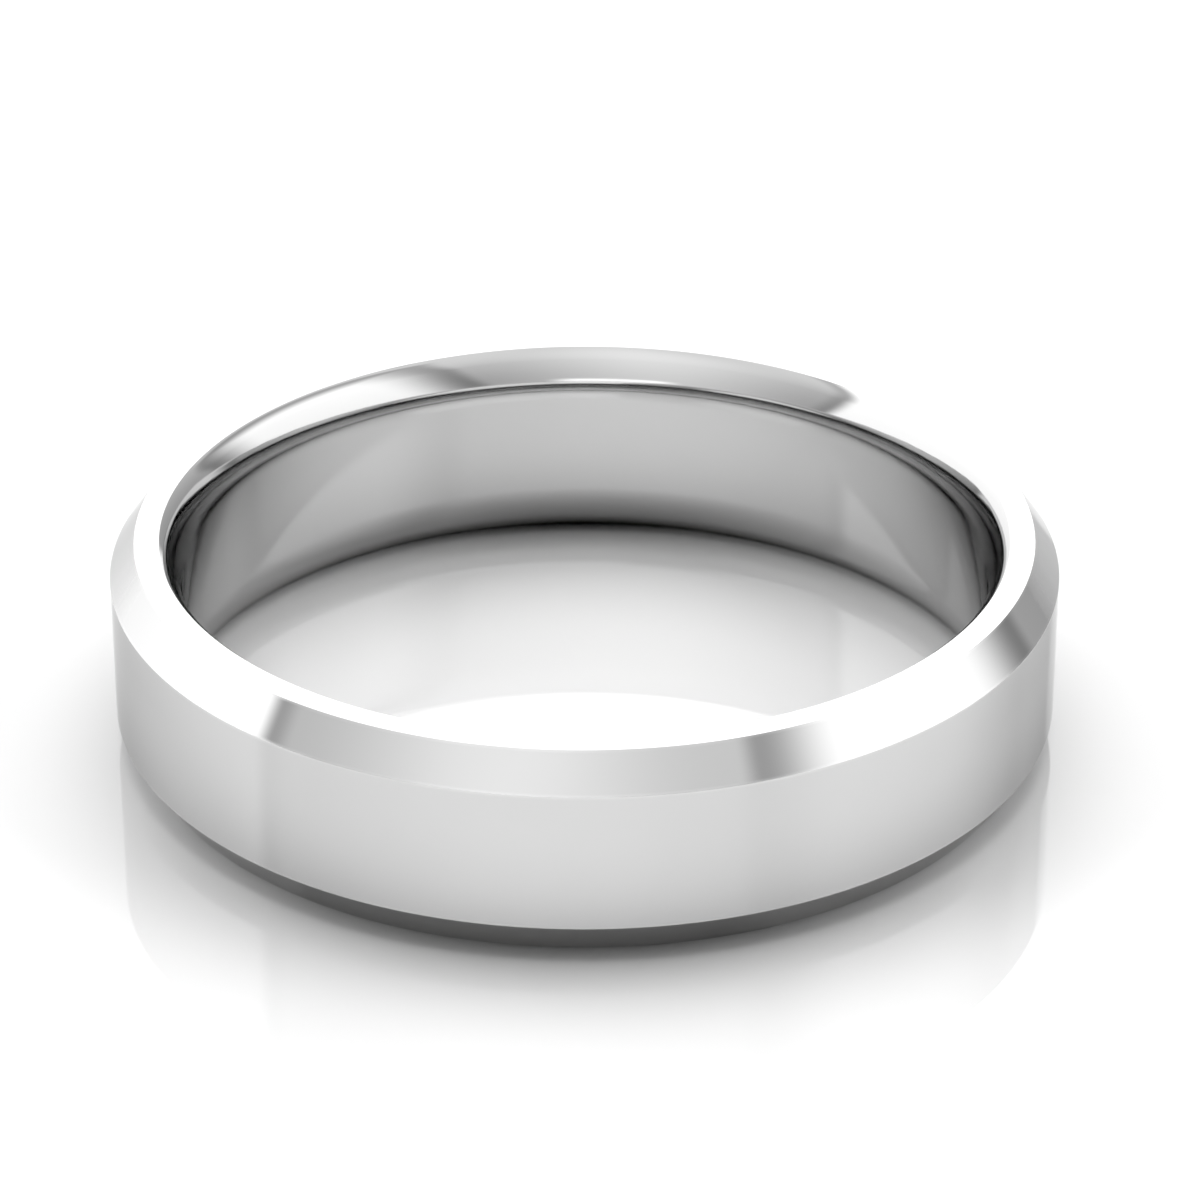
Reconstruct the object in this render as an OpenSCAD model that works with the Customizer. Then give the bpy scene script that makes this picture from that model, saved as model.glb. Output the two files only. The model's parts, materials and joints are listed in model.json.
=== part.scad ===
// Bevelled comfort-fit wedding band, lying flat on its lower rim.
// Millimetres. +Z is the ring's axis, and the origin is the centre of the lower rim's plane.
// The band is one seamless piece of metal. A bevel runs round both outer edges, and the inside
// is domed from rim to rim, so that only the middle of its width touches the finger.

/* [Ring] */
// Width of the band, which is its height as it lies flat
band_w = 5; // [4.5:0.5:10]
// Inside diameter of the straight stretch, which sets the ring size
bore_d = 18.9; // [14:0.1:24]
// Thickness of the wall at the middle of the width
wall = 1.65; // [1.55:0.05:2.4]

/* [Bevels] */
// Height of each bevel, measured along the ring's axis
bevel_h = 0.84; // [0.4:0.02:1.2]
// Depth that each bevel takes off the outer wall, measured across the wall
bevel_in = 0.59; // [0.3:0.01:0.6]

/* [Comfort fit] */
// Radius of the crown on each side of the straight stretch
crown_r = 2.15; // [1.8:0.05:2.6]
// Angle that the crown turns through before the edge radius takes over
crown_angle = 28; // [24:1:32]
// Radius that rolls the crown on towards the flat rim
edge_r = 0.75; // [0.6:0.05:0.9]
// Angle that the inside has turned through where it meets the flat rim in a corner
corner_angle = 55; // [45:1:65]

/* [Hidden] */
$fn = 240;
// Shift that makes the two arcs cross cleanly where they would otherwise only touch
eps = 0.00002;

half_w = band_w / 2;
bore_r = bore_d / 2;
outer_r = bore_r + wall;
rim_out_r = outer_r - bevel_in;
// The crown starts tangent to the bore, and hands over where its normal has turned by
// crown_angle. The edge arc goes on from the same tangent until it meets the flat rim.
edge_y = half_w - edge_r * sin(corner_angle);
crown_top = edge_y + edge_r * sin(crown_angle);
crown_foot = crown_top - crown_r * sin(crown_angle);
edge_x = crown_r * (1 - cos(crown_angle)) + edge_r * cos(crown_angle) - eps;

// Cross-section of a solid disc with both bevels, centred on mid-width
module outline() {
    bevel_foot = half_w - bevel_h;
    polygon([
        [0, -half_w], [rim_out_r, -half_w], [outer_r, -bevel_foot],
        [outer_r, bevel_foot], [rim_out_r, half_w], [0, half_w],
    ]);
}

// Metal above mid-width, in to the straight stretch and the crown, with x = 0 at the bore
module crown_side() {
    square([wall, crown_foot]);
    intersection() {
        translate([crown_r, crown_foot]) circle(crown_r);
        translate([0, crown_foot]) square([wall, half_w]);
    }
}

// Metal above mid-width, in to the arc that rolls over towards the rim
module edge_side() {
    square([wall, crown_top]);
    translate([edge_x, edge_y]) circle(edge_r);
}

// Finger hole above mid-width, which opens wider towards the rim
module hole_half() {
    difference() {
        translate([-bore_r, 0]) square([bore_r + edge_x, band_w]);
        intersection() {
            crown_side();
            edge_side();
        }
    }
}

module band() {
    color("gainsboro") translate([0, 0, half_w]) rotate_extrude() difference() {
        outline();
        for (side = [0, 1]) mirror([0, side]) translate([bore_r, 0]) hole_half();
    }
}

band();
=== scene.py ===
"""Polished wedding band lying on a glossy white floor.

Metres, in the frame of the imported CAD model: +Z is the ring's axis, and the floor is z = 0.
Directions of light are in degrees. Azimuth 0 is the camera's side (-Y), +90 is the right (+X)
and 180 is behind the ring. Elevation is measured up from the floor.
"""

import json
import math

import bmesh
import bpy
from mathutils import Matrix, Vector


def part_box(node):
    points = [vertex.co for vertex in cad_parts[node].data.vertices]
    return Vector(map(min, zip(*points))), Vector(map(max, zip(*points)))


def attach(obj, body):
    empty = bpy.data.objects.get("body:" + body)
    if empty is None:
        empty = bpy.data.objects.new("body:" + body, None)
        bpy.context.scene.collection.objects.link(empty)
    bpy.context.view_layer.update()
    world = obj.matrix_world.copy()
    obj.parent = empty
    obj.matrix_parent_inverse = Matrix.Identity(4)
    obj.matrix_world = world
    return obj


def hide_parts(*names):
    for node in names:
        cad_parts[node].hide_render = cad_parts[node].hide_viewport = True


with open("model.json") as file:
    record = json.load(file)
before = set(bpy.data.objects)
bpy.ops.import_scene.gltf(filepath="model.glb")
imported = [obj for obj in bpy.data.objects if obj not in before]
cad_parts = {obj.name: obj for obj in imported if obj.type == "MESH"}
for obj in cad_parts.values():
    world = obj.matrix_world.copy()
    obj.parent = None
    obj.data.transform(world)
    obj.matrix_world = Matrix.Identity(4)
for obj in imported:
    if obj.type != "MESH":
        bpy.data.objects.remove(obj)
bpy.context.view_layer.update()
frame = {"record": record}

MM = 0.001

# ---- Sizes of the ring ----
low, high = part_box("band")
OUTER_R = high[0]
WIDTH = high[2] - low[2]
HALF_W = WIDTH / 2
mounts = {mount["name"]: mount for mount in frame["record"]["mounts"]}
BORE_R = mounts["finger_bore"]["dims"]["r_mm"] * MM
BEVEL_H = 0.84 * MM
BEVEL_IN = 0.59 * MM
CROWN_R = 2.15 * MM
CROWN_ANGLE = math.radians(28)
EDGE_R = 0.75 * MM
CORNER_ANGLE = math.radians(55)
# Radius that polishing leaves on each corner of the section, and how far wear reaches from it
BREAK_R = 0.012 * MM
WEAR_REACH = 0.07 * MM

# ---- Fineness of the mesh ----
TURNS = 720
CROWN_STEPS = 16
EDGE_STEPS = 12
BREAK_STEPS = 4

# ---- Camera ----
PITCH = math.radians(28.04)
CAMERA_DISTANCE = 10.42 * OUTER_R
CAMERA_AIM = Vector((0.0323, 0, 0.2755)) * OUTER_R
# Sensor width and focal length, in millimetres
SENSOR = 36.0
LENS = 147.2


def polar(angle, radius=1.0):
    return Vector((math.cos(angle), math.sin(angle))) * radius


class Spot:
    """A point of the section, as (radius, height from mid-width), and its outward normal.

    wear is 1 on a worn corner, and inside is 1 on the inside of the ring.
    """

    def __init__(self, point, normal, wear=0.0, inside=0.0):
        self.point = point
        self.normal = normal
        self.wear = wear
        self.inside = inside

    def mirrored(self):
        """The same spot on the other side of mid-width."""
        point = Vector((self.point.x, -self.point.y))
        normal = Vector((self.normal.x, -self.normal.y))
        return Spot(point, normal, self.wear, self.inside)


def arc(centre, radius, start, end, steps, wear=0.0, inside=0.0):
    """Spots along an arc of the section."""
    found = []
    for i in range(steps + 1):
        way = polar(start + (end - start) * i / steps)
        found.append(Spot(centre + way * radius, way, wear, inside))
    return found


def corner(point, before, after):
    """A small worn arc in place of a sharp corner.

    before and after are the angles of the normals of the faces that meet there.
    """
    half = (after - before) / 2
    centre = point - polar(before + half, BREAK_R / math.cos(half))
    bend = arc(centre, BREAK_R, before, after, BREAK_STEPS, wear=1.0)
    quarter = math.pi / 2
    start = Spot(bend[0].point + polar(before - quarter, WEAR_REACH), bend[0].normal)
    end = Spot(bend[-1].point + polar(after + quarter, WEAR_REACH), bend[-1].normal)
    return [start, *bend, end]


def upper_section():
    """Upper half of the section, from the outer wall over the rim to the hole."""
    up = math.pi / 2
    bevel_turn = math.atan2(BEVEL_IN, BEVEL_H)
    shoulder = Vector((OUTER_R, HALF_W - BEVEL_H))
    rim_out = Vector((OUTER_R - BEVEL_IN, HALF_W))
    edge_y = HALF_W - EDGE_R * math.sin(CORNER_ANGLE)
    crown_top = edge_y + EDGE_R * math.sin(CROWN_ANGLE)
    crown_foot = crown_top - CROWN_R * math.sin(CROWN_ANGLE)
    edge_x = BORE_R + CROWN_R * (1 - math.cos(CROWN_ANGLE)) + EDGE_R * math.cos(CROWN_ANGLE)
    rim_in = Vector((edge_x - EDGE_R * math.cos(CORNER_ANGLE), HALF_W))
    hole = math.pi - CORNER_ANGLE

    section = [Spot(Vector((OUTER_R, 0)), polar(0))]
    section += corner(shoulder, 0, bevel_turn)
    section += corner(rim_out, bevel_turn, up)
    section += corner(rim_in, up, hole)[:-1]
    turned = math.pi - CROWN_ANGLE
    edge_centre = Vector((edge_x, edge_y))
    crown_centre = Vector((BORE_R + CROWN_R, crown_foot))
    section += arc(edge_centre, EDGE_R, hole, turned, EDGE_STEPS, inside=1.0)[1:]
    section += arc(crown_centre, CROWN_R, turned, math.pi, CROWN_STEPS, inside=1.0)[1:]
    return section


def band_mesh():
    """The section swept round the axis, with the exact normal of the section at every point."""
    upper = upper_section()
    section = upper + [spot.mirrored() for spot in reversed(upper[1:])]
    bm = bmesh.new()
    rings = []
    normals = []
    for turn in range(TURNS):
        angle = 2 * math.pi * turn / TURNS
        c, s = math.cos(angle), math.sin(angle)
        ring = []
        for spot in section:
            p, n = spot.point, spot.normal
            ring.append(bm.verts.new((p.x * c, p.x * s, p.y + HALF_W)))
            normals.append((n.x * c, n.x * s, n.y))
        rings.append(ring)
    count = len(section)
    for turn, ring in enumerate(rings):
        following = rings[(turn + 1) % TURNS]
        for i in range(count):
            j = (i + 1) % count
            bm.faces.new((ring[i], following[i], following[j], ring[j]))
    for face in bm.faces:
        face.smooth = True
    mesh = bpy.data.meshes.new("band_polished")
    bm.to_mesh(mesh)
    bm.free()
    mesh.normals_split_custom_set_from_vertices(normals)
    for name in ("wear", "inside"):
        values = [getattr(spot, name) for spot in section] * TURNS
        mesh.attributes.new(name, "FLOAT", "POINT").data.foreach_set("value", values)
    return mesh


class Nodes:
    """Short ways to add nodes to a tree."""

    def __init__(self, tree):
        self.tree = tree
        tree.nodes.clear()

    def add(self, kind, **settings):
        node = self.tree.nodes.new("ShaderNode" + kind)
        for name, value in settings.items():
            setattr(node, name, value)
        return node

    def join(self, value, socket):
        if hasattr(value, "is_linked"):
            self.tree.links.new(value, socket)
        else:
            socket.default_value = value

    def math(self, operation, *values):
        node = self.add("Math", operation=operation)
        for value, socket in zip(values, node.inputs):
            self.join(value, socket)
        return node.outputs[0]

    def ramp(self, value, start, end, low=0.0, high=1.0):
        """Rises smoothly from low to high as value goes from start to end."""
        node = self.add("MapRange", interpolation_type="SMOOTHSTEP")
        names = ("Value", "From Min", "From Max", "To Min", "To Max")
        for name, amount in zip(names, (value, start, end, low, high)):
            self.join(amount, node.inputs[name])
        return node.outputs["Result"]

    def noise(self, place, size, **settings):
        """Noise with features of about the given size."""
        node = self.add("TexNoise", **settings)
        self.join(place, node.inputs["Vector"])
        node.inputs["Scale"].default_value = 1 / size
        return node

    def finish(self, shader):
        out = self.add("OutputMaterial")
        self.join(shader.outputs[0], out.inputs["Surface"])


def new_material(name):
    material = bpy.data.materials.new(name)
    material.use_nodes = True
    return material, Nodes(material.node_tree)


# ---- Finish of the metal ----
METAL_GREY = 0.63
INSIDE_GREY = 0.60
WORN_GREY = 0.70
# Share of the light that the metal keeps at a grazing angle
GRAZING_TINT = 0.7
# Cloudy marks that a polishing mop leaves, and how much they vary the grey
CLOUD_SIZE = 2.5 * MM
CLOUD_DETAIL = 3
CLOUD_GREY = 0.012
# Hair-fine polishing lines that run round the ring: how far apart they lie, and how long they are
LINE_PITCH = 0.035 * MM
LINE_LENGTH = 6 * MM
LINE_DEPTH = 0.0002 * MM
LINE_DETAIL = 2
# Corners are worn by WEAR_LEAST at the start of these cloud values, and fully at their end
WEAR_CLOUDS = (0.3, 0.65)
WEAR_LEAST = 0.25
POLISHED = 0.015
INSIDE_ROUGHNESS = 0.05
CLOUD_ROUGHNESS = 0.015
LINE_ROUGHNESS = 0.02
WEAR_ROUGHNESS = 0.16


def white_metal():
    material, n = new_material("polished_white_metal")
    place = n.add("TexCoord").outputs["Object"]
    xyz = n.add("SeparateXYZ")
    n.join(place, xyz.inputs[0])
    x, y, z = xyz.outputs
    wear = n.add("Attribute", attribute_name="wear").outputs["Fac"]
    inside = n.add("Attribute", attribute_name="inside").outputs["Fac"]

    cloud_noise = n.noise(place, CLOUD_SIZE)
    cloud_noise.inputs["Detail"].default_value = CLOUD_DETAIL
    clouds = cloud_noise.outputs["Fac"]

    # The noise is drawn out along the ring by giving it the turn as a point on a small circle
    radius = n.math("SQRT", n.math("ADD", n.math("MULTIPLY", x, x), n.math("MULTIPLY", y, y)))
    circle = n.add("CombineXYZ")
    for part, socket in zip((x, y), circle.inputs):
        n.join(n.math("MULTIPLY", n.math("DIVIDE", part, radius), OUTER_R / LINE_LENGTH), socket)
    n.join(n.math("MULTIPLY", z, 1 / LINE_PITCH), circle.inputs[2])
    line_noise = n.noise(circle.outputs[0], 1.0, noise_dimensions="4D")
    n.join(n.math("MULTIPLY", radius, 1 / LINE_PITCH), line_noise.inputs["W"])
    line_noise.inputs["Detail"].default_value = LINE_DETAIL
    lines = line_noise.outputs["Fac"]

    # Wear is broken up by the clouds, so that an edge isn't evenly dull
    rubbed = n.math("MULTIPLY", wear, n.ramp(clouds, *WEAR_CLOUDS, WEAR_LEAST, 1.0))
    grey = n.math("ADD", METAL_GREY - CLOUD_GREY, n.math("MULTIPLY", clouds, 2 * CLOUD_GREY))
    grey = n.math("ADD", grey, n.math("MULTIPLY", inside, INSIDE_GREY - METAL_GREY))
    grey = n.math("ADD", grey, n.math("MULTIPLY", rubbed, WORN_GREY - METAL_GREY))
    colour = n.add("CombineColor")
    for socket in colour.inputs:
        n.join(grey, socket)
    rough = n.math("ADD", POLISHED, n.math("MULTIPLY", inside, INSIDE_ROUGHNESS - POLISHED))
    parts = ((clouds, CLOUD_ROUGHNESS), (lines, LINE_ROUGHNESS), (rubbed, WEAR_ROUGHNESS))
    for part, amount in parts:
        rough = n.math("ADD", rough, n.math("MULTIPLY", part, amount))
    bump = n.add("Bump")
    bump.inputs["Distance"].default_value = LINE_DEPTH
    n.join(lines, bump.inputs["Height"])

    shader = n.add("BsdfPrincipled")
    shader.inputs["Metallic"].default_value = 1.0
    shader.inputs["Specular Tint"].default_value = (GRAZING_TINT, GRAZING_TINT, GRAZING_TINT, 1)
    n.join(colour.outputs[0], shader.inputs["Base Color"])
    n.join(rough, shader.inputs["Roughness"])
    n.join(bump.outputs[0], shader.inputs["Normal"])
    n.finish(shader)
    return material


# ---- Floor ----
FLOOR_HALF = 0.5
FLOOR_IOR = 1.6
FLOOR_GREY = (0.79, 0.81)
FLOOR_ROUGHNESS = (0.0, 0.02)
FLOOR_CLOUD = 30 * MM
FLOOR_GRAIN = 0.6 * MM
# Values of the noise that give the ends of the ranges above
FLOOR_NOISE = (0.3, 0.7)


def glossy_white():
    material, n = new_material("glossy_white_floor")
    place = n.add("TexCoord").outputs["Object"]
    shader = n.add("BsdfPrincipled")
    for size, (least, most), name in (
        (FLOOR_CLOUD, FLOOR_GREY, "Base Color"),
        (FLOOR_GRAIN, FLOOR_ROUGHNESS, "Roughness"),
    ):
        noise = n.noise(place, size).outputs["Fac"]
        n.join(n.ramp(noise, *FLOOR_NOISE, least, most), shader.inputs[name])
    shader.inputs["IOR"].default_value = FLOOR_IOR
    n.finish(shader)
    return material


def floor():
    mesh = bpy.data.meshes.new("floor")
    bm = bmesh.new()
    sides = ((-1, -1), (1, -1), (1, 1), (-1, 1))
    bm.faces.new([bm.verts.new((x * FLOOR_HALF, y * FLOOR_HALF, 0)) for x, y in sides])
    bm.to_mesh(mesh)
    bm.free()
    mesh.materials.append(glossy_white())
    found = bpy.data.objects.new("floor", mesh)
    bpy.context.scene.collection.objects.link(found)
    return found


# ---- Light ----
# A soft box is a patch of sky between great circles through its corners, which are (azimuth,
# elevation) in degrees, taken clockwise as the ring sees them. Its edge is soft over inner degrees
# inside the outline. Round it lies a frame FRAME_WIDTH wide, which is darker by the share dip.
SOFT_BOXES = (
    dict(corners=((-178, -12), (-160, 58), (-104, 56), (-63, -12)), inner=5, dip=0.3, level=1.25),
    dict(corners=((24, -12), (70, 59), (132, 26), (111, -12)), inner=20, dip=0.42, level=1.25),
    dict(corners=((163, 8), (100, 66), (-150, 64), (-165, 8)), inner=4, dip=0.25, level=1.55),
    dict(corners=((158, -12), (158, 14), (-158, 14), (-158, -12)), inner=4, dip=0.0, level=1.3),
)
FRAME_WIDTH = 5
SKY_ZENITH = 1.08
SKY_HORIZON = 0.54
# The sky is brighter between these azimuths, on the camera's side
GLOW_AZIMUTH = (-75, 35)
GLOW_LEVEL = 0.455
# The strip of bright sky that the back of the ring sees just over the front of it, and how softly
# its ends and its top fade, in degrees
STRIP_AZIMUTH = (-28, 12)
STRIP_TOP = 6
STRIP_LEVEL = 1.0
STRIP_END = 10
STRIP_SOFT = 2
# The camera sees plain white where it looks past the floor
CAMERA_SKY = 1.2


def direction(azimuth, elevation):
    a, e = math.radians(azimuth), math.radians(elevation)
    return Vector((math.sin(a) * math.cos(e), -math.cos(a) * math.cos(e), math.sin(e)))


def studio():
    """The sky that the metal and the floor's gloss mirror. It doesn't light the floor."""
    world = bpy.data.worlds.new("studio")
    world.use_nodes = True
    world.cycles_visibility.diffuse = False
    bpy.context.scene.world = world
    n = Nodes(world.node_tree)
    way = n.add("TexCoord").outputs["Generated"]
    xyz = n.add("SeparateXYZ")
    n.join(way, xyz.inputs[0])
    x, y, z = xyz.outputs

    def depth_in(corners):
        """How far inside the outline a direction lies, as the sine of the angle."""
        found = None
        for i, here in enumerate(corners):
            there = corners[(i + 1) % len(corners)]
            inward = direction(*there).cross(direction(*here)).normalized()
            dot = n.add("VectorMath", operation="DOT_PRODUCT")
            n.join(way, dot.inputs[0])
            dot.inputs[1].default_value = inward
            side = dot.outputs["Value"]
            found = side if found is None else n.math("MINIMUM", found, side)
        return found

    azimuth = n.math("DEGREES", n.math("ARCTAN2", x, n.math("MULTIPLY", y, -1.0)))
    left, right = GLOW_AZIMUTH
    middle = (left + right) / 2
    rise, fall = n.ramp(azimuth, left, middle), n.ramp(azimuth, middle, right, 1.0, 0.0)
    glow = n.math("MINIMUM", rise, fall)
    level_part = n.math("SQRT", n.math("SUBTRACT", 1.0, n.math("MULTIPLY", z, z)))
    glow = n.math("MULTIPLY", n.math("MULTIPLY", glow, level_part), GLOW_LEVEL)
    total = n.math("ADD", n.ramp(z, 0.0, 1.0, SKY_HORIZON, SKY_ZENITH), glow)
    lights = 0.0
    for box in SOFT_BOXES:
        depth = depth_in(box["corners"])
        frame_width = math.sin(math.radians(FRAME_WIDTH))
        inner = math.sin(math.radians(box["inner"]))
        shade = n.ramp(depth, -frame_width, 0.0, 1.0, 1.0 - box["dip"])
        total = n.math("MULTIPLY", total, shade)
        lights = n.math("MAXIMUM", lights, n.ramp(depth, 0.0, inner, 0.0, box["level"]))
    total = n.math("ADD", total, lights)
    left, right = STRIP_AZIMUTH
    left_end = n.ramp(azimuth, left, left + STRIP_END)
    right_end = n.ramp(azimuth, right - STRIP_END, right, 1.0, 0.0)
    fade, top = (math.sin(math.radians(el)) for el in (STRIP_TOP - STRIP_SOFT, STRIP_TOP))
    strip = n.math("MULTIPLY", left_end, right_end)
    strip = n.math("MULTIPLY", strip, n.ramp(z, fade, top, STRIP_LEVEL, 0.0))
    total = n.math("ADD", total, strip)
    seen = n.add("LightPath").outputs["Is Camera Ray"]
    total = n.math("MAXIMUM", total, n.math("MULTIPLY", seen, CAMERA_SKY))
    background = n.add("Background")
    background.inputs["Color"].default_value = (1, 1, 1, 1)
    n.join(total, background.inputs["Strength"])
    out = n.add("OutputWorld")
    n.join(background.outputs[0], out.inputs["Surface"])


# Lamps that light the floor, as disks that span spread degrees to each side, with power in watts.
# The metal doesn't mirror them.
LAMP_DISTANCE = 0.4
LAMPS = (
    dict(name="key", azimuth=180, elevation=70, spread=30, power=1.62),
    dict(name="left", azimuth=-100, elevation=15, spread=40, power=3.05),
    dict(name="right", azimuth=100, elevation=15, spread=40, power=3.05),
)


def lamp(name, azimuth, elevation, spread, power):
    data = bpy.data.lights.new(name, "AREA")
    data.shape = "DISK"
    data.size = 2 * LAMP_DISTANCE * math.tan(math.radians(spread))
    data.energy = power
    found = bpy.data.objects.new(name, data)
    way = direction(azimuth, elevation)
    found.location = way * LAMP_DISTANCE
    found.rotation_euler = way.to_track_quat("Z", "Y").to_euler()
    found.visible_glossy = False
    bpy.context.scene.collection.objects.link(found)


def camera():
    data = bpy.data.cameras.new("camera")
    data.sensor_width = SENSOR
    data.lens = LENS
    data.clip_start = OUTER_R
    found = bpy.data.objects.new("camera", data)
    back = Vector((0, -math.cos(PITCH), math.sin(PITCH)))
    found.location = CAMERA_AIM + back * CAMERA_DISTANCE
    found.rotation_euler = (math.pi / 2 - PITCH, 0, 0)
    bpy.context.scene.collection.objects.link(found)
    bpy.context.scene.camera = found


band = bpy.data.objects.new("band_polished", band_mesh())
band.data.materials.append(white_metal())
bpy.context.scene.collection.objects.link(band)
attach(band, "root")
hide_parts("band")

floor()
studio()
for settings in LAMPS:
    lamp(**settings)
camera()
bpy.context.scene.view_settings.view_transform = "Standard"
# Light mirrored by the ring doesn't fall on the floor, so that the shadow stays plain
bpy.context.scene.cycles.caustics_reflective = False
